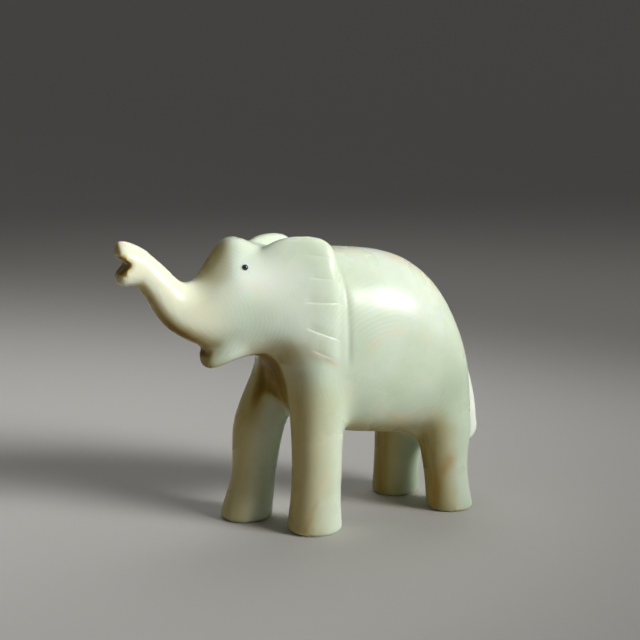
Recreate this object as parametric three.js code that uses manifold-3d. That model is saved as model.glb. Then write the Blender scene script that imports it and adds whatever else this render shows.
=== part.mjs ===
// Stone elephant, carved from one block, with a black bead set in a drilled socket for each eye.
//
// Millimetres. +Z is up and the four soles rest on z = 0. The head looks towards -X, the tail is
// at +X, the elephant's left side is -Y. The origin lies under the middle of the whole figure.

import * as THREE from "three";
import { mergeVertices } from "three/addons/utils/BufferGeometryUtils.js";
import Module from "manifold-3d";

// Driving dimensions
const BODY_SQUARENESS = 2.3; // 2 is an ellipse, and more is boxier
const EAR_SQUARENESS = 3.2;
const TAIL_SQUARENESS = 3;
const SOLE_EDGE = 0.9; // how far the flat sole stays inside the foot's side
const RIGHT_EAR_DROP = 0.15; // the share of its height over 75 mm that the right ear loses
const GROOVE = { width: 0.95, depth: 0.45 };
const EYE = { x: -23.4, y: 9.2, z: 72.7, bead: 1.56, clearance: 0.07, below: 0.12 };
const EYE_AXIS = { x: -0.28, y: 0.91, z: 0.3 }; // square to the side of the head

// Wedges with round bottoms, filed right across and opening forwards: one parts the two fingers
// of the trunk's tip, and the other is the mouth. The slopes of their sides are in degrees.
const FILE_CUTS = [
  { x: -52.9, z: 74, radius: 0.85, above: 26, below: 44 },
  { x: -31.9, z: 49.7, radius: 0.8, above: 24, below: 68 },
];
const CUT_LENGTH = 6;
const CUT_ACROSS = 20;

const wasm = await Module();
wasm.setup();

// Stations

// A ring on the middle plane, from its upper point to its lower point, with its half width.
function belt(upperX, upperZ, lowerX, lowerZ, halfWidth) {
  return {
    from: new THREE.Vector3(upperX, 0, upperZ),
    to: new THREE.Vector3(lowerX, 0, lowerZ),
    half: halfWidth,
  };
}

// A level round ring of a leg.
function disc(z, x, y, radius) {
  return {
    from: new THREE.Vector3(x - radius, y, z),
    to: new THREE.Vector3(x + radius, y, z),
    half: radius,
  };
}

// A level ring of an ear, from its front end to its rim.
function blade(z, frontX, frontY, rimX, rimY, halfThickness) {
  return {
    from: new THREE.Vector3(frontX, frontY, z),
    to: new THREE.Vector3(rimX, rimY, z),
    half: halfThickness,
  };
}

// The leg's rings, with the sole's rounded edge below them.
function leg(rings, foot) {
  return [
    ...rings.map((ring) => disc(...ring)),
    disc(1.1, foot.x, foot.y, foot.radius),
    disc(0.3, foot.x, foot.y, foot.radius - SOLE_EDGE * 0.4),
    disc(0, foot.x, foot.y, foot.radius - SOLE_EDGE),
  ];
}

const TORSO = [
  belt(-15.5, 66, -14.5, 52, 7),
  belt(-12, 73.5, -13.4, 45, 12.5),
  belt(-5.5, 75.6, -8.2, 35, 15.6),
  belt(3, 75.8, 0.5, 27.6, 17.3),
  belt(12, 75.4, 9.5, 24, 18.3),
  belt(20.5, 74.2, 18, 22.8, 18.5),
  belt(28, 71.6, 25, 22, 18),
  belt(34.9, 66.1, 30, 21.2, 17.2),
  belt(40.1, 58.5, 33.5, 20.4, 16.4),
  belt(44.1, 48.5, 36.5, 19.6, 15.3),
  belt(46, 37.5, 39, 18.8, 13.6),
  belt(47, 28, 41, 18, 11.2),
  belt(47, 21.5, 43, 17.6, 7),
];

const HEAD_AND_TRUNK = [
  belt(-4, 74.5, -6, 50, 12.5),
  belt(-12, 76.8, -13.5, 47.4, 13.4),
  belt(-17.5, 78.1, -18, 47.9, 12.2),
  belt(-22.4, 79.9, -22, 48, 10.9),
  belt(-25.6, 79, -25.4, 49.4, 9.9),
  belt(-28.8, 75.1, -28.8, 50.4, 8.8),
  belt(-32, 70.7, -32.6, 51.4, 7.6),
  belt(-34.9, 68.3, -36.8, 53.4, 6.4),
  belt(-37.3, 68.4, -40.8, 56, 5.4),
  belt(-39.6, 70.4, -43.9, 59.4, 4.8),
  belt(-42, 72.9, -46.2, 63.1, 4.4),
  belt(-44.9, 75.6, -48.4, 66.6, 4.1),
  belt(-47.8, 78.1, -50, 68.5, 3.9),
  belt(-50.6, 79.5, -52.2, 68.2, 3.8),
  belt(-53.2, 80, -53.9, 68.4, 3.5),
  belt(-54.9, 79.4, -54.6, 69.8, 2.4),
];

const LOWER_JAW = [
  belt(-18, 60, -19, 48.4, 8.6),
  belt(-23.6, 60, -23.6, 47.5, 8),
  belt(-27.4, 58, -27.2, 46, 6.6),
  belt(-29.8, 54.6, -29.6, 45.1, 5),
  belt(-31.3, 51.4, -31.2, 45, 3.8),
  belt(-31.9, 50, -31.8, 46.2, 2.6),
];

const TAIL = [
  belt(38.2, 62, 36, 58.5, 1.2),
  belt(40.8, 59.1, 37.5, 56.5, 2),
  belt(44.1, 54.3, 40, 52.5, 2.6),
  belt(46.8, 49.1, 42, 48, 2.8),
  belt(49.4, 42.1, 44, 41.5, 2.8),
  belt(51.6, 36.1, 45.5, 35.8, 2.8),
  belt(53.4, 28.3, 46.5, 28, 2.8),
  belt(54.2, 22.9, 46.5, 22.4, 2.7),
  belt(54.4, 19, 46, 18.2, 2.3),
  belt(52.4, 16, 45.5, 15.8, 1.4),
];

const LEGS = {
  frontLeft: leg(
    [
      [50, -2, -7.5, 9],
      [37, -2.3, -9, 8.2],
      [26, -2.9, -9.5, 7.2],
      [17, -3.3, -10, 6.9],
      [9, -3.9, -10.5, 6.95],
      [3.5, -4.3, -10.9, 7.4],
    ],
    { x: -4.4, y: -11, radius: 7.6 },
  ),
  frontRight: leg(
    [
      [50, -2.5, 6.5, 9],
      [41, -4.8, 8, 8.6],
      [34, -8.4, 8.6, 8],
      [27, -11.6, 8.6, 7.5],
      [20, -12.9, 8.5, 6.9],
      [12.5, -13.6, 8.4, 6.3],
      [6, -15.1, 8.3, 6.9],
      [3, -15.9, 8.2, 7.3],
    ],
    { x: -16.2, y: 8.2, radius: 7.4 },
  ),
  backLeft: leg(
    [
      [42, 33.5, -4, 9.5],
      [33, 35.6, -6.6, 9.2],
      [26, 37.2, -8.4, 8.5],
      [20, 37.6, -9.3, 7.4],
      [15, 37.7, -9.6, 6.7],
      [10, 38.2, -9.7, 6.4],
      [5, 38.9, -9.8, 6.5],
    ],
    { x: 39.6, y: -9.9, radius: 6.8 },
  ),
  backRight: leg(
    [
      [42, 33.5, 4, 9.5],
      [33, 35, 6.8, 9.2],
      [26, 35, 8.8, 8.4],
      [20, 34.4, 9.8, 7.5],
      [14, 34, 10.3, 7],
      [6, 33.7, 10.6, 7],
    ],
    { x: 33.5, y: 10.7, radius: 7.2 },
  ),
};

// The left ear: its front end lies inside the cheek and its rim stands proud of the shoulder.
const EAR = [
  [45.6, -2.5, -13.9, 0.3, -14.9, 1.6],
  [47.6, -6.5, -12.7, 0.7, -15.2, 2.8],
  [51, -11.4, -11, 0.8, -15.4, 3.1],
  [55, -15.4, -9.5, 0.9, -15.4, 3.2],
  [61, -18.9, -8.2, 1, -15.3, 3.2],
  [67, -20, -7.4, 0.9, -14.9, 3.1],
  [72, -19.6, -6.6, 0.8, -14, 3],
  [75.5, -18.6, -6.1, 0.5, -13, 2.8],
  [77.8, -16, -6.6, -0.6, -12.1, 2.3],
  [79.1, -12.9, -7.6, -2.6, -11.3, 1.6],
  [79.7, -10.3, -8.6, -5.2, -10.4, 0.8],
];

// The left ear's cut lines: both ends of each on the ear's outer face.
const EAR_LINES = [
  [[-8.7, 75.2], [-1.8, 74.4]],
  [[-7.9, 69.4], [-1.2, 68.8]],
  [[-9.4, 63.4], [-0.3, 62.5]],
  [[-8.7, 56.3], [-0.2, 52.9]],
  [[-7.2, 50.4], [-0.6, 47.2]],
];

// Geometry

// Turns a closed geometry's faces outwards if they point in.
function facingOut(geometry) {
  const corner = [0, 1, 2].map(() => new THREE.Vector3());
  const { index } = geometry;
  const { position } = geometry.attributes;
  let volume = 0;
  for (let i = 0; i < index.count; i += 3) {
    corner.forEach((point, k) => point.fromBufferAttribute(position, index.getX(i + k)));
    volume += corner[0].dot(corner[1].clone().cross(corner[2]));
  }
  if (volume < 0) index.array.reverse();
  return geometry;
}

// One closed skin through the stations' rings. Each ring is an oval, squared by squareness, in
// the plane of its from-to line and the line square to that and to along.
function skin(stations, { along = "x", sides = 24, steps = 2, squareness = BODY_SQUARENESS } = {}) {
  const axis = new THREE.Vector3(along === "x" ? 1 : 0, 0, along === "z" ? 1 : 0);
  const from = new THREE.CatmullRomCurve3(stations.map((station) => station.from));
  const to = new THREE.CatmullRomCurve3(stations.map((station) => station.to));
  const halves = stations.map((station) => new THREE.Vector3(station.half, 0, 0));
  const half = new THREE.CatmullRomCurve3(halves, false, "catmullrom");
  const squared = (value) => Math.sign(value) * Math.abs(value) ** (2 / squareness);
  const rings = (stations.length - 1) * steps + 1;
  const positions = [];
  const indices = [];
  for (let r = 0; r < rings; r++) {
    const t = r / (rings - 1);
    const start = from.getPoint(t);
    const reach = start.clone().sub(to.getPoint(t)).divideScalar(2);
    const centre = start.clone().sub(reach);
    const across = axis.clone().cross(reach).setLength(half.getPoint(t).x);
    for (let s = 0; s < sides; s++) {
      const angle = (s / sides) * 2 * Math.PI;
      const point = centre.clone();
      point.addScaledVector(reach, squared(Math.cos(angle)));
      point.addScaledVector(across, squared(Math.sin(angle)));
      positions.push(...point.toArray());
    }
  }
  for (let r = 0; r + 1 < rings; r++) {
    for (let s = 0; s < sides; s++) {
      const a = r * sides + s;
      const b = r * sides + ((s + 1) % sides);
      indices.push(a, b, a + sides, b, b + sides, a + sides);
    }
  }
  const last = (rings - 1) * sides;
  for (let s = 1; s + 1 < sides; s++) {
    indices.push(0, s + 1, s, last, last + s, last + s + 1);
  }
  const geometry = new THREE.BufferGeometry();
  geometry.setAttribute("position", new THREE.Float32BufferAttribute(positions, 3));
  geometry.setIndex(indices);
  return facingOut(geometry);
}

function toSolid(geometry) {
  const bare = geometry.clone();
  bare.deleteAttribute("normal");
  bare.deleteAttribute("uv");
  const merged = mergeVertices(bare, 1e-5);
  return new wasm.Manifold(new wasm.Mesh({
    numProp: 3,
    vertProperties: new Float32Array(merged.attributes.position.array),
    triVerts: new Uint32Array(merged.index.array),
  }));
}

function toGeometry(solid) {
  const mesh = solid.getMesh();
  const geometry = new THREE.BufferGeometry();
  geometry.setAttribute("position", new THREE.BufferAttribute(mesh.vertProperties, 3));
  geometry.setIndex(new THREE.BufferAttribute(mesh.triVerts, 1));
  geometry.computeVertexNormals();
  return geometry;
}

// Left is -Y and right is +Y.
const SIDES = { left: -1, right: 1 };

function earBlades(side) {
  return EAR.map(([z, frontX, frontY, rimX, rimY, half]) => {
    const drop = side > 0 ? RIGHT_EAR_DROP * Math.max(0, z - 75) : 0;
    return blade(z - drop, frontX, -side * frontY, rimX, -side * rimY, half);
  });
}

// A cut line is a long thin lens, half sunk in the ear's outer face.
function earLine([start, end], side) {
  const face = [start, end].map(([x, z]) => new THREE.Vector3(x, side * earFace(x, z), z));
  const line = face[1].clone().sub(face[0]);
  const lens = new THREE.SphereGeometry(1, 8, 8);
  lens.scale(GROOVE.width / 2, line.length() / 2, GROOVE.depth);
  const turn = new THREE.Quaternion().setFromUnitVectors(
    new THREE.Vector3(0, 1, 0), line.clone().normalize());
  lens.applyQuaternion(turn);
  lens.translate(...face[0].add(face[1]).divideScalar(2).toArray());
  return lens;
}

// Half width of the figure over the left ear, at x and z, from the ear's own stations.
function earFace(x, z) {
  const above = EAR.findIndex((ring) => ring[0] >= z);
  const [low, high] = [EAR[above - 1], EAR[above]];
  const ring = low.map((value, i) =>
    THREE.MathUtils.mapLinear(z, low[0], high[0], value, high[i]));
  const [, frontX, frontY, rimX, rimY, half] = ring;
  const slant = Math.atan2(frontY - rimY, rimX - frontX);
  return -THREE.MathUtils.mapLinear(x, frontX, rimX, frontY, rimY) + half / Math.cos(slant);
}

function fileCut({ x, z, radius, above, below }) {
  const spread = (slope) => radius + CUT_LENGTH * Math.tan(THREE.MathUtils.degToRad(slope));
  const profile = new THREE.Shape();
  profile.absarc(0, 0, radius, -Math.PI / 2, Math.PI / 2);
  profile.lineTo(-CUT_LENGTH, spread(above));
  profile.lineTo(-CUT_LENGTH, -spread(below));
  profile.closePath();
  const cut = new THREE.ExtrudeGeometry(profile, { depth: CUT_ACROSS, bevelEnabled: false });
  cut.rotateX(Math.PI / 2);
  cut.translate(x, CUT_ACROSS / 2, z);
  return cut;
}

function eyeOutwards(side) {
  return new THREE.Vector3(EYE_AXIS.x, side * EYE_AXIS.y, EYE_AXIS.z).normalize();
}

// A blind hole, drilled square to the head's surface, as deep below it as it stands out above.
function eyeSocket(side) {
  const radius = EYE.bead / 2 + EYE.clearance;
  const depth = EYE.below + EYE.bead + EYE.clearance;
  const socket = new THREE.CylinderGeometry(radius, radius, depth * 2, 20);
  const up = new THREE.Vector3(0, 1, 0);
  socket.applyQuaternion(new THREE.Quaternion().setFromUnitVectors(up, eyeOutwards(side)));
  socket.translate(EYE.x, side * EYE.y, EYE.z);
  return socket;
}

function eyeBead(side) {
  const bead = new THREE.SphereGeometry(EYE.bead / 2, 20, 14);
  const centre = new THREE.Vector3(EYE.x, side * EYE.y, EYE.z);
  centre.addScaledVector(eyeOutwards(side), -EYE.below - EYE.bead / 2);
  bead.translate(...centre.toArray());
  return bead;
}

// The stone

function carveStone() {
  let stone = toSolid(skin(TORSO, { sides: 32 }));
  stone = stone.add(toSolid(skin(HEAD_AND_TRUNK)));
  stone = stone.add(toSolid(skin(LOWER_JAW, { sides: 16 })));
  stone = stone.add(toSolid(skin(TAIL, { sides: 12, squareness: TAIL_SQUARENESS })));
  for (const rings of Object.values(LEGS)) {
    stone = stone.add(toSolid(skin(rings, { along: "z", sides: 22, squareness: 2 })));
  }
  for (const side of Object.values(SIDES)) {
    const ear = skin(earBlades(side), { along: "z", sides: 20, squareness: EAR_SQUARENESS });
    stone = stone.add(toSolid(ear));
  }
  for (const cut of FILE_CUTS) stone = stone.subtract(toSolid(fileCut(cut)));
  for (const side of Object.values(SIDES)) {
    for (const line of EAR_LINES) stone = stone.subtract(toSolid(earLine(line, side)));
    stone = stone.subtract(toSolid(eyeSocket(side)));
  }
  return toGeometry(stone);
}

const celadon = new THREE.MeshStandardMaterial({ color: 0xcfd8c4, roughness: 0.25, metalness: 0 });
const jet = new THREE.MeshStandardMaterial({ color: 0x0b0b0a, roughness: 0.12, metalness: 0 });

const figure = new THREE.Group();

const stoneElephant = new THREE.Mesh(carveStone(), celadon);
stoneElephant.name = "stone_elephant";
figure.add(stoneElephant);

for (const [name, side] of Object.entries(SIDES)) {
  const bead = new THREE.Mesh(eyeBead(side), jet.clone());
  bead.name = `eye_bead_${name}`;
  figure.add(bead);
}

// The origin goes under the middle of the figure's box.
const middle = new THREE.Box3().setFromObject(figure).getCenter(new THREE.Vector3());
figure.position.set(-middle.x, -middle.y, 0);

export default figure;
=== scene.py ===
"""A stone elephant with its trunk raised, carved from one block of pale green stone.

Metres, +Z up, and the soles on z = 0. The head looks towards -X, and the elephant's left side,
which the camera sees, is -Y. The ring tables are in millimetres, from the carving's own origin,
which lies a fifth of a millimetre from the frame's.
"""

import math

import bpy
import numpy as np
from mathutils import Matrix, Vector


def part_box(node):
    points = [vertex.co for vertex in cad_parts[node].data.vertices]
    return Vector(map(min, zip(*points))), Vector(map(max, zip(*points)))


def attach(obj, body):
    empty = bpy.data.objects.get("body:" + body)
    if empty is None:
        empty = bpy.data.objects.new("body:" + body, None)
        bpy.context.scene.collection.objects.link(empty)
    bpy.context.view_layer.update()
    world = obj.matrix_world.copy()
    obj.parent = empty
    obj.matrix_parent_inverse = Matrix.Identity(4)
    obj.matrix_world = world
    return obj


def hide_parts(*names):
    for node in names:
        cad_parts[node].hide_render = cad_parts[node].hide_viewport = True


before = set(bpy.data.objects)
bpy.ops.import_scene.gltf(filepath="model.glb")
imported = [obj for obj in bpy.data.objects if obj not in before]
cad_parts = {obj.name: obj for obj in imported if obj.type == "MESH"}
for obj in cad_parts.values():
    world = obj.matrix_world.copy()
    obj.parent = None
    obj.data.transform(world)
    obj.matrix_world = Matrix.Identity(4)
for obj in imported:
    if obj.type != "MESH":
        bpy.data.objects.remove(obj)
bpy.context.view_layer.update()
MM = 0.001


# ---------------------------------------------------------------------------------------------
# Block. The whole elephant is one piece of stone. It is roughed out as simple round lumps, for
# the body, the head with its trunk, the jaw and the legs, which run into each other.

# Each row is a ring on the middle plane: upper x and z, lower x and z, and half width.
TORSO = [
    (-15.5, 66, -14.5, 52, 7),
    (-12, 73.5, -13.4, 45, 12.5),
    (-5.5, 75.6, -8.2, 35, 15.6),
    (3, 75.8, 0.5, 27.6, 17.3),
    (12, 75.4, 9.5, 24, 18.3),
    (20.5, 74.2, 18, 22.8, 18.5),
    (28, 71.6, 25, 22, 18),
    (34.9, 66.1, 30, 21.2, 17.2),
    (40.1, 58.5, 33.5, 20.4, 16.4),
    (44.1, 48.5, 36.5, 19.6, 15.3),
    (46, 37.5, 39, 18.8, 13.6),
    (47, 28, 41, 18, 11.2),
    (47, 21.5, 43, 17.6, 7),
]
HEAD_AND_TRUNK = [
    (-4, 74.5, -6, 50, 12.5),
    (-12, 76.8, -13.5, 47.4, 13.4),
    (-17.5, 78.1, -18, 47.9, 12.2),
    (-22.4, 79.9, -22, 48, 10.9),
    (-25.6, 79, -25.4, 49.4, 9.9),
    (-28.8, 75.1, -28.8, 50.4, 8.8),
    (-32, 70.7, -32.6, 51.4, 7.6),
    (-34.9, 68.3, -36.8, 53.4, 6.4),
    (-37.3, 68.4, -40.8, 56, 5.4),
    (-39.6, 70.4, -43.9, 59.4, 4.8),
    (-42, 72.9, -46.2, 63.1, 4.4),
    (-44.9, 75.6, -48.4, 66.6, 4.1),
    (-47.8, 78.1, -50, 68.5, 3.9),
    (-50.6, 79.5, -52.2, 68.2, 3.9),
    (-53.2, 80.4, -53.9, 68.2, 3.8),
    (-55.3, 80.2, -55, 69, 3.2),
]
LOWER_JAW = [
    (-18, 60, -19, 48.4, 8.6),
    (-23.6, 60, -23.6, 47.5, 8),
    (-27.4, 58, -27.2, 46, 6.6),
    (-29.8, 54.6, -29.6, 45.1, 5),
    (-31.3, 51.4, -31.2, 45, 3.8),
    (-31.9, 50, -31.8, 45.4, 3),
]
# Each row is a level ring of a leg: z, x, y and radius. The last one is the sole.
LEGS = {
    "front_left": [
        (50, -2, -7.5, 9),
        (37, -2.3, -9, 8.2),
        (26, -2.9, -9.5, 7.2),
        (17, -3.3, -10, 6.9),
        (9, -3.9, -10.5, 6.95),
        (3.5, -4.3, -10.9, 7.4),
        (0, -4.4, -11, 7.6),
    ],
    "front_right": [
        (50, -2.5, 6.5, 9),
        (41, -4.8, 8, 8.6),
        (34, -8.4, 8.6, 8),
        (27, -11.6, 8.6, 7.5),
        (20, -12.9, 8.5, 6.9),
        (12.5, -13.6, 8.4, 6.3),
        (6, -15.1, 8.3, 6.9),
        (3, -15.9, 8.2, 7.3),
        (0, -16.2, 8.2, 7.4),
    ],
    "back_left": [
        (42, 33.5, -4, 9.5),
        (33, 35.6, -6.6, 9.2),
        (26, 37.2, -8.4, 8.5),
        (20, 37.6, -9.3, 7.4),
        (15, 37.7, -9.6, 6.7),
        (10, 38.2, -9.7, 6.4),
        (5, 38.9, -9.8, 6.5),
        (0, 39.6, -9.9, 6.8),
    ],
    "back_right": [
        (42, 33.5, 4, 9.5),
        (33, 35, 6.8, 9.2),
        (26, 35, 8.8, 8.4),
        (20, 34.4, 9.8, 7.5),
        (14, 34, 10.3, 7),
        (6, 33.7, 10.6, 7),
        (0, 33.5, 10.7, 7.2),
    ],
}
# A ring's flat facets: direction in degrees from its upper end, and distance for a unit ring.
FOUR_SIDES = ((0, 1), (90, 1), (180, 1), (270, 1))
PLANED = ((0, 1), (45, 0.97), (90, 1), (135, 1.06), (180, 1), (225, 1.06), (270, 1), (315, 0.97))


def leg_rings(rows):
    """A leg's level rings, written as the upper and lower points of the other tables."""
    return [(x - r, z, x + r, z, r, y) for z, x, y, r in rows]


def through(rows, steps):
    """The rows, with steps - 1 more between each two, on smooth curves through all of them."""
    rows = np.array(rows, float)
    ends = np.vstack([2 * rows[0] - rows[1], rows, 2 * rows[-1] - rows[-2]])
    smooth = []
    for before, here, after, beyond in zip(ends, ends[1:], ends[2:], ends[3:]):
        for t in np.arange(steps) / steps:
            bend = 2 * here + (after - before) * t
            bend += (2 * before - 5 * here + 4 * after - beyond) * t**2
            bend += (3 * here - before - 3 * after + beyond) * t**3
            smooth.append(bend / 2)
    return smooth + [rows[-1]]


def only(*pieces):
    """Selects these pieces and nothing else, with the first one active."""
    bpy.ops.object.select_all(action="DESELECT")
    for piece in pieces:
        piece.select_set(True)
    bpy.context.view_layer.objects.active = pieces[0]


def ring_of(row):
    """A row's centre, its tilt about Y, its half length along that tilt, and its half width."""
    upper_x, upper_z, lower_x, lower_z, half = row[:5]
    y = row[5] if len(row) > 5 else 0
    centre = Vector(((upper_x + lower_x) / 2, y, (upper_z + lower_z) / 2)) * MM
    reach = Vector((upper_x - lower_x, upper_z - lower_z)) / 2 * MM
    return centre, math.atan2(reach.y, reach.x), reach.length, half * MM


def outline(sides, facets, crispness):
    """A unit ring with flat facets and rounded corners, which crispness makes tighter."""
    points = []
    for turn in 2 * math.pi * np.arange(sides) / sides:
        pushes = [math.cos(turn - math.radians(way)) / distance for way, distance in facets]
        reach = sum(max(0, push) ** crispness for push in pushes) ** (-1 / crispness)
        points.append((math.cos(turn) * reach, math.sin(turn) * reach))
    return points


def draw_out(name, rows, sides=48, facets=FOUR_SIDES, crispness=2.3, steps=4):
    """A closed lump, drawn out ring by ring from a disc by extruding, turning and resizing."""
    rings = [ring_of(row) for row in through(rows, steps)]
    bpy.ops.object.select_all(action="DESELECT")
    bpy.ops.mesh.primitive_circle_add(vertices=sides, radius=1, fill_type="NGON")
    lump = bpy.context.object
    lump.name = name
    centre, tilt, length, half = rings[0]
    for vertex, (up, across) in zip(lump.data.vertices, outline(sides, facets, crispness)):
        vertex.co = up * length, across * half, 0
    lump.rotation_euler.y = -tilt
    lump.location = centre
    bpy.ops.object.transform_apply(location=True, rotation=True, scale=True)
    bpy.ops.object.mode_set(mode="EDIT")
    bpy.ops.mesh.select_all(action="SELECT")
    for next_centre, next_tilt, next_length, next_half in rings[1:]:
        move = next_centre - centre
        bpy.ops.mesh.extrude_region_move(TRANSFORM_OT_translate={"value": move})
        turn = (next_tilt - tilt + math.pi) % (2 * math.pi) - math.pi
        bpy.ops.transform.rotate(
            value=turn, orient_axis="Y", orient_type="GLOBAL", center_override=next_centre)
        grow = next_length / length
        bpy.ops.transform.resize(
            value=(grow, next_half / half, grow), center_override=next_centre)
        centre, tilt, length, half = next_centre, next_tilt, next_length, next_half
    bpy.ops.mesh.select_all(action="SELECT")
    bpy.ops.mesh.normals_make_consistent(inside=False)
    bpy.ops.object.mode_set(mode="OBJECT")
    return lump


lumps = [
    draw_out("torso", TORSO, sides=64),
    draw_out("head", HEAD_AND_TRUNK, facets=PLANED, crispness=12),
    draw_out("jaw", LOWER_JAW, sides=32, crispness=3.4),
]
lumps += [draw_out(name, leg_rings(rows), crispness=2) for name, rows in LEGS.items()]


def apply_modifier(piece, kind, **settings):
    only(piece)
    modifier = piece.modifiers.new(kind.lower(), kind)
    for name, value in settings.items():
        setattr(modifier, name, value)
    bpy.ops.object.modifier_apply(modifier=modifier.name)


def places(piece):
    """The piece's vertices, one row each."""
    flat = np.empty(len(piece.data.vertices) * 3)
    piece.data.vertices.foreach_get("co", flat)
    return flat.reshape(-1, 3)


def outwards(piece):
    """The surface's direction at each vertex."""
    flat = np.empty(len(piece.data.vertices) * 3)
    piece.data.vertices.foreach_get("normal", flat)
    return flat.reshape(-1, 3)


def put(piece, new_places):
    piece.data.vertices.foreach_set("co", new_places.ravel())
    piece.data.update()


def fade(values, start, end):
    """A smooth rise from 0 at start to 1 at end."""
    share = np.clip((values - start) / (end - start), 0, 1)
    return share * share * (3 - 2 * share)


def beyond(points, x, z):
    """How far each point lies from a line that runs across the carving at x and z."""
    return np.hypot(points[:, 0] / MM - x, points[:, 2] / MM - z)


def fill_hollows(piece, passes, worn=0.0, share=1.0):
    """Rounds the inward corners, as a rubbing stone leaves them: where smoothing would raise the
    surface it does, and where it would lower it, only the worn share of that is taken."""
    before = places(piece)
    normals = outwards(piece)
    apply_modifier(piece, "SMOOTH", factor=0.5, iterations=passes)
    lift = ((places(piece) - before) * normals).sum(axis=1) * share
    lift = np.where(lift > 0, lift, lift * worn)
    put(piece, before + normals * lift[:, None])


def soften(piece, passes, share):
    """Smooths the surface, by the given share at each vertex."""
    before = places(piece)
    apply_modifier(piece, "SMOOTH", factor=0.5, iterations=passes)
    put(piece, before + (places(piece) - before) * share[:, None])


VOXEL = 0.7
MOUTH_CORNER = (-31.5, 50.5)

only(*lumps)
bpy.ops.object.join()
stone = bpy.context.object
stone.name = "carved_stone"
apply_modifier(stone, "REMESH", mode="VOXEL", voxel_size=VOXEL * MM)
for passes in (60, 40, 20):
    off_mouth = fade(beyond(places(stone), *MOUTH_CORNER), 1.5, 5)
    fill_hollows(stone, passes, worn=0.1, share=off_mouth)
soften(stone, 6, fade(beyond(places(stone), *MOUTH_CORNER), 0, 4))

# Two notches with round bottoms are filed right across: the one between the fingers at the tip
# of the trunk, and the mouth. Each is the x and z of its bottom's middle, its radius there, and
# the slopes of its upper and lower sides in degrees.
NOTCH = (-52.9, 74, 0.85, 26, 44)
MOUTH = (-31.9, 49.7, 0.8, 24, 68)
CUT_LENGTH = 6
CUT_ACROSS = 20

for cut_x, cut_z, bottom, above, below in (NOTCH, MOUTH):
    bpy.ops.object.select_all(action="DESELECT")
    bpy.ops.mesh.primitive_cylinder_add(
        vertices=48, radius=bottom * MM, depth=CUT_ACROSS * MM, rotation=(math.pi / 2, 0, 0))
    file_cut = bpy.context.object
    bpy.ops.object.transform_apply(location=True, rotation=True, scale=True)
    # The front half of the cylinder is drawn out forwards and spread into a wedge.
    for vertex in file_cut.data.vertices:
        if vertex.co.x < -0.01 * MM:
            spread = above if vertex.co.z > 0 else below
            widest = 1 + CUT_LENGTH / bottom * math.tan(math.radians(spread))
            vertex.co.z *= widest
            vertex.co.x -= CUT_LENGTH * MM
    file_cut.location = Vector((cut_x, 0, cut_z)) * MM
    apply_modifier(stone, "BOOLEAN", object=file_cut, operation="DIFFERENCE", solver="EXACT")
    bpy.data.objects.remove(file_cut)


# ---------------------------------------------------------------------------------------------
# Ears and tail. They are part of the same stone, left standing above the head and the body when
# those were cut back: each ear is a fan whose back rim is free, and the tail is a low ridge.

# Each row is a level ring of an ear, along the ear: z, front end, rim, distance out from the
# middle plane, and half thickness.
EAR = [
    (45.6, 2.4, 5.3, 13.9, 1.6),
    (47.6, -1.8, 5.8, 14.1, 2.8),
    (51, -7, 6, 14.2, 3.1),
    (55, -11.3, 6.1, 14.2, 3.2),
    (61, -15, 6.1, 14.1, 3.2),
    (67, -16.3, 5.9, 13.7, 3.1),
    (72, -16.2, 5.5, 12.9, 3),
    (75.5, -15.4, 4.9, 12, 2.8),
    (77.8, -12.8, 3.5, 11.6, 2.3),
    (79.2, -9.6, 1.4, 11.5, 1.6),
    (79.8, -6.8, -1.4, 11.6, 0.8),
]
EAR_SPLAY = math.radians(19.8)
# The right ear's top is worn a little: it loses this share of its height over the mark, and its
# rim comes in by twice as much.
RIGHT_EAR_DROP = 0.15
RIGHT_EAR_MARK = 75
# The tail's rows are rings on the middle plane, as the body's are.
TAIL = [
    (38.2, 62, 36, 58.5, 1.2),
    (40.8, 59.1, 37.5, 56.5, 2),
    (44.1, 54.3, 40, 52.5, 2.6),
    (46.8, 49.1, 42, 48, 2.8),
    (49.4, 42.1, 44, 41.5, 2.8),
    (51.8, 36.1, 45.5, 35.8, 2.8),
    (53.8, 28.3, 46.5, 28, 2.8),
    (54.5, 22.9, 46.5, 22.4, 2.8),
    (55, 19, 46, 18.2, 2.6),
    (53, 15.8, 45.5, 15.6, 1.7),
]
TAIL_FACETS = ((0, 1), (50, 0.98), (90, 1), (180, 1), (270, 1), (310, 0.98))

raised = [draw_out("tail", TAIL, facets=TAIL_FACETS, crispness=12)]
for side in (-1, 1):
    rows = []
    for z, front, rim, out, half in EAR:
        lower = RIGHT_EAR_DROP * max(0, z - RIGHT_EAR_MARK) if side > 0 else 0
        rows.append((front, z - lower, rim - 2 * lower, z - lower, half, side * out))
    ear = draw_out("ear", rows, crispness=3.2)
    ear.rotation_euler.z = side * EAR_SPLAY
    bpy.ops.object.transform_apply(location=True, rotation=True, scale=True)
    raised.append(ear)
only(stone, *raised)
bpy.ops.object.join()
apply_modifier(stone, "REMESH", mode="VOXEL", voxel_size=VOXEL * MM)
for passes in (8, 5):
    off_mouth = fade(beyond(places(stone), *MOUTH_CORNER), 1, 4)
    off_tip = fade(beyond(places(stone), *NOTCH[:2]), 3, 6)
    x, y, z = (places(stone) / MM).T
    off_tail = 1 - 0.7 * fade(x, 38, 42) * fade(abs(y), 6, 4.5)
    fill_hollows(stone, passes, worn=0.15, share=off_mouth * off_tip * off_tail)
apply_modifier(stone, "SMOOTH", factor=0.5, iterations=2)

# The broad places, on the body and the legs, are rubbed smoother than the rest.
x, y, z = (places(stone) / MM).T
broad = fade(x, 4, 8) * (1 - fade(x, 36, 40) * fade(abs(y), 7, 5))
broad = np.maximum(broad, fade(z, 42, 36)) * fade(z, 1, 4)
soften(stone, 24, broad)

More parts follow.
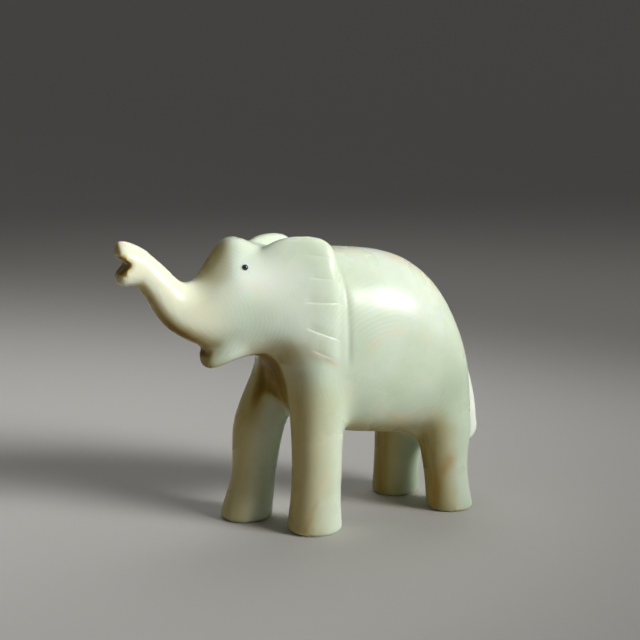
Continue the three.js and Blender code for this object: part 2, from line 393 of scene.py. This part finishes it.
# In front, each ear runs out of the cheek with no edge, across a slight hollow.
x, y, z = (places(stone) / MM).T
ear_front = fade(x, -5, -10) * fade(x, -27, -21)
ear_front *= fade(abs(y), 5, 8) * fade(z, 44, 48) * fade(z, 80, 74)
soften(stone, 160, ear_front)


def refine(piece, chosen):
    """Divides the chosen faces into four, for finer work."""
    only(piece)
    bpy.ops.object.mode_set(mode="EDIT")
    bpy.ops.mesh.select_mode(type="FACE")
    bpy.ops.mesh.select_all(action="DESELECT")
    bpy.ops.object.mode_set(mode="OBJECT")
    piece.data.polygons.foreach_set("select", chosen)
    bpy.ops.object.mode_set(mode="EDIT")
    bpy.ops.mesh.subdivide(number_cuts=1)
    bpy.ops.object.mode_set(mode="OBJECT")


def face_middles(piece):
    """The middle of each face, in millimetres."""
    flat = np.empty(len(piece.data.polygons) * 3)
    piece.data.polygons.foreach_get("center", flat)
    return flat.reshape(-1, 3) / MM


x, y, z = face_middles(stone).T
head = (x < -17) & (z > 43)
ears = (abs(y) > 8) & (x > -12) & (x < 4) & (z > 44)
tail = (x > 38) & (abs(y) > 1.7) & (abs(y) < 5.4) & (z > 14)
refine(stone, head | ears | tail)
x, y, z = (places(stone) / MM).T
fine_head = fade(x, -16, -18) * fade(z, 43, 44)
fine_ears = fade(abs(y), 7, 8) * fade(x, 5, 3) * fade(z, 43, 45)
fine_tail = fade(x, 37, 39) * fade(abs(y), 5.5, 4.5)
soften(stone, 3, np.maximum.reduce([fine_head, fine_ears, fine_tail]))

# Five shallow cuts run in from the rim of each ear: x and z where each starts and ends, its
# depth, and its width.
EAR_CUTS = [
    ((-7.9, 75.3), (-1.6, 74.5), 0.12, 0.5),
    ((-7.3, 69.4), (-1.9, 68.9), 0.14, 0.4),
    ((-8.8, 63.2), (0.2, 62.6), 0.18, 0.24),
    ((-8.5, 56.2), (-0.2, 52.9), 0.22, 0.24),
    ((-7.2, 50.4), (-0.9, 47.4), 0.09, 0.5),
]
# The ear is scooped out above each cut, up to SCALLOP from it, and comes back to its full
# surface within CUT_LIP below it.
CUT_LIP = 0.22
SCALLOP = 2.4
# A line is scraped on each side of the tail, and another on the shoulder, behind each ear's rim:
# how far out or back its middle lies, its width, and its depth.
TAIL_LINE = (3.9, 1, 1)
SHOULDER_LINE = (2.6, 0.9, 0.3)
SOCKET_DEPTH = 0.75
EYES = [Vector((-23.4, side * 9.2, 72.7)) for side in (-1, 1)]
EYE_RADIUS = 0.82


def by_cut(points, start, end):
    """Each point's distance above the cut, and the share that the cut has where it lies."""
    (x0, z0), (x1, z1) = start, end
    long = math.hypot(x1 - x0, z1 - z0)
    along = ((points[:, 0] - x0) * (x1 - x0) + (points[:, 2] - z0) * (z1 - z0)) / long
    above = ((points[:, 2] - z0) * (x1 - x0) - (points[:, 0] - x0) * (z1 - z0)) / long
    share = fade(along, -0.8, 1.6) * fade(along, long + 0.6, long - 0.6)
    return above, share * (1 - 0.6 * fade(along, 0.4 * long, 0.9 * long))


def scraped(away, width):
    """The depth of a scraped line of depth 1, by the distance from its middle."""
    return np.exp(-(away / width) ** 2)


middles = face_middles(stone)
finest = np.zeros(len(middles), bool)
for start, end, *_ in EAR_CUTS:
    above, share = by_cut(middles, start, end)
    finest |= (share > 0) & (abs(above) < 1) & (abs(middles[:, 1]) > 10)
for eye in EYES:
    finest |= np.linalg.norm(middles - np.array(eye), axis=1) < 1.8
refine(stone, finest)

at = places(stone) / MM
x, y, z = at.T
normals = outwards(stone)
outer = fade(normals[:, 1] * np.sign(y), 0.2, 0.6) * fade(abs(y), 9, 10)
sunk = np.zeros(len(at))
for start, end, depth, width in EAR_CUTS:
    above, share = by_cut(at, start, end)
    scallop = fade(above, SCALLOP, 0) * fade(above, -CUT_LIP, CUT_LIP * 0.3)
    sunk += depth * (scallop + 0.5 * scraped(above, width)) * share * outer
out, width, depth = TAIL_LINE
beside_tail = scraped(abs(y) - out, width) * fade(x, 36, 40) * fade(normals[:, 0], -0.2, 0.2)
sunk += depth * beside_tail * fade(z, 64, 54) * fade(z, 14, 20)
back, width, depth = SHOULDER_LINE
behind_ear = scraped(x - back, width) * fade(abs(y), 9, 12)
sunk += depth * behind_ear * fade(z, 44, 50) * fade(z, 76, 70)
for eye in EYES:
    away = np.linalg.norm(at - np.array(eye), axis=1)
    sunk += SOCKET_DEPTH * fade(away, EYE_RADIUS + 0.28, EYE_RADIUS - 0.05)
put(stone, (at - normals * sunk[:, None]) * MM)

# The rubbing never leaves a stone quite even. The soles are ground flat last.
RIPPLE_SPACING = 11
RIPPLE_HEIGHT = 0.2
GROUND_OFF = 0.25

ripple = bpy.data.textures.new("hand_rubbing", "CLOUDS")
ripple.noise_basis = "IMPROVED_PERLIN"
ripple.noise_scale = RIPPLE_SPACING * MM
ripple.noise_depth = 0
apply_modifier(
    stone, "DISPLACE", texture=ripple, texture_coords="LOCAL", strength=RIPPLE_HEIGHT * MM,
    mid_level=0.5)

at = places(stone)
at[:, 2] = np.where(at[:, 2] < GROUND_OFF * MM, 0, at[:, 2])
put(stone, at)

# From the carving's own origin to the frame's, which lies under the middle of the whole.
CENTRING = Vector((0.21, 0.01, 0)) * MM
put(stone, places(stone) + np.array(CENTRING))
for polygon in stone.data.polygons:
    polygon.use_smooth = True
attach(stone, "root")
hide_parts("stone_elephant")


# ---------------------------------------------------------------------------------------------
# The stone's colours: pale green, creamy on the trunk, and honey brown on the sides that face
# forward and down, which is partly the stone's own stain and partly painted shade. Some other
# shares hold painted shade and painted highlights too. Each is a share at every vertex, laid by
# the place on the carving and by the way that the surface faces.

at = (places(stone) - np.array(CENTRING)) / MM
x, y, z = at.T
facing_x, facing_y, facing_z = outwards(stone).T


def ribbon(path, width):
    """The share of a thin vein that runs along a path just under the surface."""
    nearest = np.full(len(at), 1e9)
    for start, end in zip(np.array(path[:-1], float), np.array(path[1:], float)):
        run = end - start
        along = np.clip((at - start) @ run / (run @ run), 0, 1)
        nearest = np.minimum(nearest, np.linalg.norm(at - start - along[:, None] * run, axis=1))
    return np.exp(-(nearest / width) ** 2)


def patch(middle, reach):
    """The share of a soft round patch of colour."""
    away = np.linalg.norm((at - np.array(middle)) / np.array(reach), axis=1)
    return np.exp(-away * away)


def on_both_sides(middle, reach):
    """The same patch on the left and on the right."""
    patch_x, patch_y, patch_z = middle
    return patch(middle, reach) + patch((patch_x, -patch_y, patch_z), reach)


def paint(name, share):
    layer = stone.data.attributes.new(name, "FLOAT", "POINT")
    layer.data.foreach_set("value", np.clip(share, 0, 1))


# The honey brown lies on what faces forwards and down, and is strongest between the fore legs. It
# is partly the stone's stain and partly painted shade on the sides turned away from the light.
trunk_under = (0.74 + 0.26 * fade(x, -46, -38)) * fade(x, -55, -50) * fade(x, -24, -30)
trunk_under *= fade(-0.65 * facing_x - 0.76 * facing_z, 0.38, 0.95) * fade(z, 43, 46)
lip = fade(-facing_x, 0.35, 0.95) * fade(x, -28, -31) * fade(z, 56, 52)
from_notch = beyond(places(stone), *NOTCH[:2])
in_notch = fade(from_notch, 3.4, 2.6) * fade(-facing_x, 0.05, 0.5)
in_notch = np.maximum(in_notch, 0.5 * fade(from_notch, 2.4, 1.1))
tip = 0.55 * fade(-facing_x, 0.3, 0.8) * fade(x, -50, -54)
brow = fade(-facing_x, 0.42, 0.85) * fade(x, -18, -24) * fade(z, 66, 70) * fade(x, -39, -35)
throat = 0.62 * fade(-0.7 * facing_x - 0.8 * facing_z, 0.1, 1.1) * fade(z, 42, 47)
breast = 0.5 * fade(-facing_x - 0.3 * facing_z, 0.3, 1.2)
between_legs = fade(-facing_x - 0.5 * abs(facing_y) - 0.4 * facing_z, -0.2, 0.5)
between_legs *= fade(abs(y), 10, 5)
chest = np.maximum.reduce([throat, breast, between_legs]) * fade(z, 57, 50) * fade(z, 18, 40)
chest *= (1.15 - 0.35 * fade(y, 3, 6)) * fade(x, -26, -20) * fade(x, 2, -4)
fore_legs = 0.6 * fade(-facing_x, 0.3, 1.15) * fade(z, 46, 38) * fade(x, 6, 0)
hind_legs = np.clip(-facing_x + 0.05, 0, 1) * fade(z, 33, 24) * fade(x, 22, 28)
belly = fade(-facing_z, 0.2, 1) * fade(z, 34, 26) * fade(x, -2, 4)
honey_and_shade = np.maximum.reduce([
    trunk_under, lip, 0.8 * in_notch, tip, 0.65 * brow, chest, fore_legs, 0.8 * hind_legs,
    0.6 * belly])
paint("honey_and_shade", honey_and_shade)

# Cream on the trunk, and tan down the legs. The tan is partly the legs' own colour and partly
# painted shade, growing on the sides that face forward, away from the light.
paint("cream", fade(x, -24, -36) * fade(z, 50, 56))
fore_tan_shade = np.clip((0.45 - facing_x) / 1.4, 0, 1) * fade(z, 46, 34) * fade(x, 8, 2)
hind_tan_shade = 0.5 * np.clip((0.3 - facing_x) / 1.2, 0, 1) * fade(z, 33, 22) * fade(x, 18, 24)
paint("tan", fore_tan_shade + hind_tan_shade)

# Almost white round the eyes, on the trunk's root, on the ears and on the tail. Round the eyes it
# is a painted highlight where the head tilts up to the light, and on the tail's side it is a
# painted highlight along the ridge.
tail_highlight = fade(x, 46, 49) * fade(abs(y), 4.8, 3.8) * fade(z, 48, 42)
pale_and_highlight = on_both_sides((-19, -12, 70), (8, 6, 6)) + 1.2 * tail_highlight
pale_and_highlight += 0.3 * on_both_sides((-27, -9, 62), (7, 6, 9))
pale_and_highlight += 0.4 * on_both_sides((-6, -15, 64), (8, 5, 13))
paint("pale_and_highlight", pale_and_highlight)

# Deeper green on the cheeks. On the lower hind quarters beside the tail and on the inner side of
# the right legs it is painted shade.
hind_quarters_shade = fade(x, 28, 40) * fade(z, 54, 36) * (1 - tail_highlight)
cheeks = on_both_sides((-24, -9, 58), (7, 7, 6))
inner_side_shade = fade(-facing_y, -0.5, 0.5) * fade(y, 1, 4) * fade(z, 52, 34)
paint("deep_and_shade", 0.55 * hind_quarters_shade + 0.35 * cheeks + 0.75 * inner_side_shade)

# Peach and rust run in veins.
back_vein = ribbon(
    [(-2, -5, 76), (9.4, -5.4, 74.8), (20, -6.3, 73.2), (28.5, -8.4, 69.1), (33, -10, 64)], 2)
back_vein += 0.7 * ribbon([(2, 4, 76), (14, 7, 74), (25, 5, 71), (34, 8, 65)], 1.7)
flank_vein = ribbon(
    [(9, -18, 49.7), (12, -18.2, 52.4), (15.6, -18.3, 53.8), (20, -18.2, 53.5),
     (25.8, -17.9, 51.8)], 1.4)
flank_vein += ribbon(
    [(8.6, -16.3, 36.9), (12, -15.6, 33.5), (16.3, -14.3, 30.7), (22, -13.2, 28.7)], 0.9)
flank_vein += ribbon([(26, -14.5, 30), (31.6, -15, 29)], 1.8)
flank_vein += ribbon([(10, 18, 58), (18, 18.3, 52), (27, 17.5, 50), (34, 16, 42)], 1.5)
leg_vein = ribbon([(-5, -17, 27), (-4.8, -16.5, 19.3), (-5.6, -16.8, 12)], 1.8)
leg_vein += 0.6 * ribbon([(-9, 15.6, 30), (-13, 15, 18), (-15, 15, 8)], 1.5)
ear_vein = ribbon([(-7.2, -15.5, 49.8), (-4, -16.4, 48.4), (-1.4, -16.9, 46.6)], 0.8)
cheek_blush = patch((-22, -11, 66), (4, 4, 2.5))
peach = 0.8 * (back_vein + leg_vein) + 0.55 * flank_vein + 0.9 * ear_vein + 0.4 * cheek_blush
paint("peach", peach)

foot_vein = ribbon([(-6.6, -17, 9.5), (-7.8, -16.5, 7.1), (-9.8, -15.9, 1.1)], 0.55)
hind_vein = ribbon(
    [(35.6, -15.8, 16), (35.1, -15.6, 14.2), (33.2, -13.5, 9), (32.8, -11.1, 2.8)], 1.7)
hind_vein += 0.6 * ribbon([(34, 17, 12), (31, 15, 7), (28, 12, 2)], 0.7)
paint("rust", 0.5 * foot_vein + 0.8 * hind_vein)

jade = bpy.data.materials.new("jade")
jade.use_nodes = True
nodes, links = jade.node_tree.nodes, jade.node_tree.links
shader = nodes["Principled BSDF"]


def add(kind, sockets=None, **settings):
    """A node of the stone, whose sockets hold values or other nodes' outputs."""
    made = nodes.new(kind)
    for name, value in settings.items():
        setattr(made, name, value)
    for socket, value in (sockets or {}).items():
        if isinstance(value, bpy.types.NodeSocket):
            links.new(value, made.inputs[socket])
        else:
            made.inputs[socket].default_value = value
    return made


def share_of(name):
    return add("ShaderNodeAttribute", attribute_name=name).outputs["Fac"]


def blend(share, first, second):
    """The second colour over the first, by the share."""
    return add("ShaderNodeMix", {0: share, 6: first, 7: second}, data_type="RGBA").outputs[2]


def product(first, second, clamp=False):
    """The two multiplied, and held between 0 and 1 if clamp is set."""
    return add(
        "ShaderNodeMath", {0: first, 1: second}, operation="MULTIPLY", use_clamp=clamp).outputs[0]


def between(value, low, high, to_low=0.0, to_high=1.0):
    """A smooth step from to_low to to_high, as the value goes from low to high."""
    return add(
        "ShaderNodeMapRange", {0: value, 1: low, 2: high, 3: to_low, 4: to_high},
        interpolation_type="SMOOTHSTEP").outputs[0]


here = add("ShaderNodeTexCoord").outputs["Object"]


def cloud(scale, detail=3.0, stretch=(1, 1, 1), distortion=0.0):
    """Cloudy noise, of the given number of clouds in a metre."""
    laid = add("ShaderNodeMapping", {"Vector": here, "Scale": stretch}).outputs[0]
    return add("ShaderNodeTexNoise", {
        "Vector": laid, "Scale": scale, "Detail": detail, "Distortion": distortion,
    }).outputs["Fac"]


DEEP = (0.42, 0.52, 0.38, 1)
CELADON = (0.59, 0.69, 0.52, 1)
PALE = (0.74, 0.83, 0.71, 1)
MILKY = (0.86, 0.90, 0.80, 1)
ALMOST_WHITE_AND_HIGHLIGHT = (0.90, 0.96, 0.87, 1)
CREAM = (0.82, 0.83, 0.64, 1)
PEACH = (0.86, 0.64, 0.38, 1)
TAN_AND_SHADE = (0.68, 0.60, 0.33, 1)
HONEY_AND_SHADE = (0.50, 0.36, 0.07, 1)
BURNT_AND_SHADE = (0.15, 0.075, 0.008, 1)
RUST = (0.50, 0.27, 0.05, 1)

stone_colour = blend(between(cloud(38, 4, distortion=0.1), 0.3, 0.7), CELADON, PALE)
wisps = between(cloud(60, 4, stretch=(1, 1, 0.5), distortion=0.1), 0.45, 0.8)
stone_colour = blend(product(wisps, 0.3), stone_colour, MILKY)

# Fine growth lines run in rings round a few places in the stone: the middle of the rings and
# their spacing in millimetres, how strong they are, and how far out they run in millimetres.
GROWTH_RINGS = (
    ((16, -22, 44), 1.3, 0.16, 32),
    ((-46, -20, 56), 0.9, 0.14, 46),
    ((20, 30, 50), 1.4, 0.16, 32),
)
RINGS_PER_METRE_AT_SCALE_1 = 10 / math.pi

for middle, spacing, strength, extent in GROWTH_RINGS:
    move = [-v * MM for v in middle]
    laid = add("ShaderNodeMapping", {"Vector": here, "Location": move}).outputs[0]
    rings = add("ShaderNodeTexWave", {
        "Vector": laid, "Scale": 1 / (spacing * MM) / RINGS_PER_METRE_AT_SCALE_1, "Distortion": 9,
        "Detail": 3, "Detail Scale": 0.25, "Detail Roughness": 0.4,
    }, wave_type="RINGS", rings_direction="SPHERICAL").outputs["Fac"]
    away = add("ShaderNodeVectorMath", {0: laid}, operation="LENGTH").outputs["Value"]
    within = between(away, 0.7 * extent * MM, extent * MM, 1, 0)
    shown = product(within, between(away, 3 * MM, 12 * MM))
    shown = product(product(shown, rings), between(cloud(55, 2), 0.4, 0.62))
    stone_colour = blend(product(shown, strength), stone_colour, DEEP)

# The painted shares come over the stone, each broken up a little by the grain or by clouds.
# Deeper green: partly painted shade, low on the hind quarters and inside the right legs.
stone_colour = blend(share_of("deep_and_shade"), stone_colour, DEEP)
# Almost white: partly painted highlights, round the eyes and on the tail.
stone_colour = blend(product(share_of("pale_and_highlight"), 0.75), stone_colour, ALMOST_WHITE_AND_HIGHLIGHT)
cream_share = product(share_of("cream"), between(cloud(60, 3), 0.25, 0.7, 0.75, 1))
stone_colour = blend(cream_share, stone_colour, CREAM)
peach_share = product(share_of("peach"), between(cloud(110, 3, distortion=0.2), 0.3, 0.65))
stone_colour = blend(product(peach_share, 0.55), stone_colour, PEACH)
grain = cloud(130, 4, stretch=(1, 1, 0.12), distortion=0.1)
# Tan: partly the legs' own colour and partly painted shade on their forward sides.
tan_shade_share = product(share_of("tan"), between(grain, 0.25, 0.7, 0.7, 1.1))
stone_colour = blend(product(tan_shade_share, 0.9), stone_colour, TAN_AND_SHADE)
# Honey and burnt brown: partly the stone's own stain and partly painted shade, darkest where the
# share is highest.
honey_shade_share = product(share_of("honey_and_shade"), between(grain, 0.25, 0.7, 0.7, 1.1))
stone_colour = blend(product(honey_shade_share, 1.15, clamp=True), stone_colour, HONEY_AND_SHADE)
stone_colour = blend(product(between(honey_shade_share, 0.5, 1.05), 0.85), stone_colour, BURNT_AND_SHADE)
rust_share = product(share_of("rust"), between(cloud(240, 4), 0.3, 0.6, 0.5, 1))
stone_colour = blend(product(rust_share, 0.65), stone_colour, RUST)
links.new(stone_colour, shader.inputs["Base Color"])

links.new(between(cloud(90, 5), 0.3, 0.7, 0.24, 0.34), shader.inputs["Roughness"])
shader.inputs["IOR"].default_value = 1.47
links.new(between(honey_shade_share, 0.2, 0.9, 0.3, 0.1), shader.inputs["Specular IOR Level"])
shader.inputs["Subsurface Weight"].default_value = 0.45
shader.inputs["Subsurface Radius"].default_value = (1, 0.72, 0.36)
shader.inputs["Subsurface Scale"].default_value = 0.0035
shader.inputs["Coat Weight"].default_value = 0.05
shader.inputs["Coat Roughness"].default_value = 0.12
stone.data.materials.clear()
stone.data.materials.append(jade)


# ---------------------------------------------------------------------------------------------
# Eyes. Each is a round bead of black stone, let into a drilled socket a little below the face
# and held by a dab of adhesive.

black = bpy.data.materials.new("black_stone")
black.use_nodes = True
gloss = black.node_tree.nodes["Principled BSDF"]
gloss.inputs["Base Color"].default_value = (0.017, 0.017, 0.017, 1)
gloss.inputs["Roughness"].default_value = 0.08
gloss.inputs["Coat Weight"].default_value = 1

for name in ("eye_bead_left", "eye_bead_right"):
    low, high = (Vector(corner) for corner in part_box(name))
    bpy.ops.object.select_all(action="DESELECT")
    bpy.ops.mesh.primitive_uv_sphere_add(
        segments=64, ring_count=32, radius=EYE_RADIUS * MM, location=(low + high) / 2)
    bead = bpy.context.object
    bead.name = name + "_polished"
    bpy.ops.object.transform_apply(location=True, rotation=True, scale=True)
    bpy.ops.object.shade_smooth()
    bead.data.materials.append(black)
    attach(bead, "root")
    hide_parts(name)


# ---------------------------------------------------------------------------------------------
# Studio. A sheet of pale paper lies under the carving and curves up behind it. One soft box
# stands to the right of the camera, and another hangs overhead.

# The camera looks down a little on the left side, from ahead of it.
HEADING = math.radians(27)
PITCH = math.radians(9.5)
TARGET = Vector((2.8, 0, 55.5)) * MM + CENTRING
DISTANCE = 356.7 * MM

ahead = Vector((
    math.sin(HEADING) * math.cos(PITCH), math.cos(HEADING) * math.cos(PITCH), -math.sin(PITCH)))
bpy.ops.object.camera_add(location=TARGET - ahead * DISTANCE)
camera = bpy.context.object
camera.rotation_euler = (math.pi / 2 - PITCH, 0, -HEADING)
camera.data.sensor_width = 36
camera.data.lens = 73.1
camera.data.clip_start = 0.01
bpy.context.scene.camera = camera

# The paper's sizes, and the middle of the part that lies flat, are in metres.
PAPER_MIDDLE = (0.5, 0.6, 0)
PAPER_WIDTH = 5
PAPER_DEPTH = 2.4
PAPER_HEIGHT = 2
PAPER_CURVE = 0.8

bpy.ops.object.select_all(action="DESELECT")
bpy.ops.mesh.primitive_plane_add(size=1, location=PAPER_MIDDLE)
floor = bpy.context.object
floor.name = "floor_and_backdrop"
floor.scale = PAPER_WIDTH, PAPER_DEPTH, 1
bpy.ops.object.transform_apply(location=True, rotation=True, scale=True)
back_y = max(vertex.co.y for vertex in floor.data.vertices)
bpy.ops.object.mode_set(mode="EDIT")
bpy.ops.mesh.select_mode(type="EDGE")
bpy.ops.mesh.select_all(action="DESELECT")
bpy.ops.object.mode_set(mode="OBJECT")
for edge in floor.data.edges:
    edge.select = all(floor.data.vertices[i].co.y > back_y - MM for i in edge.vertices)
bpy.ops.object.mode_set(mode="EDIT")
bpy.ops.mesh.extrude_region_move(TRANSFORM_OT_translate={"value": (0, 0, PAPER_HEIGHT)})
bpy.ops.mesh.select_all(action="DESELECT")
bpy.ops.object.mode_set(mode="OBJECT")
for edge in floor.data.edges:
    ends = [floor.data.vertices[i].co for i in edge.vertices]
    edge.select = all(end.y > back_y - MM and end.z < MM for end in ends)
bpy.ops.object.mode_set(mode="EDIT")
bpy.ops.mesh.bevel(offset=PAPER_CURVE, segments=24)
bpy.ops.object.mode_set(mode="OBJECT")
bpy.ops.object.shade_smooth()
paper = bpy.data.materials.new("pale_paper")
paper.use_nodes = True
paper_shader = paper.node_tree.nodes["Principled BSDF"]
paper_shader.inputs["Base Color"].default_value = (0.62, 0.61, 0.59, 1)
paper_shader.inputs["Roughness"].default_value = 0.7
floor.data.materials.append(paper)


WARM_WHITE = (1, 0.99, 0.97)


def soft_box(name, way, distance, size, power, spread=180, higher=0):
    """A soft box that looks at the carving, or a little higher, from the way given."""
    place = TARGET + Vector(way).normalized() * distance
    bpy.ops.object.light_add(type="AREA", location=place)
    light = bpy.context.object
    light.name = name
    light.data.shape = "RECTANGLE"
    light.data.size, light.data.size_y = size
    light.data.energy = power
    light.data.color = WARM_WHITE
    light.data.spread = math.radians(spread)
    aim = TARGET + Vector((0, 0, higher)) - place
    light.rotation_euler = aim.to_track_quat("-Z", "Y").to_euler()


soft_box("key", (0.54, -0.72, 0.46), 0.6, (0.42, 0.2), 0.39, spread=30, higher=0.05)
soft_box("top", (0.2, 0.45, 1), 0.7, (0.4, 0.4), 0.85)

world = bpy.data.worlds.new("studio")
bpy.context.scene.world = world
world.use_nodes = True
world.node_tree.nodes["Background"].inputs["Color"].default_value = (0.95, 0.93, 0.9, 1)
world.node_tree.nodes["Background"].inputs["Strength"].default_value = 0.1
bpy.context.scene.view_settings.view_transform = "Standard"
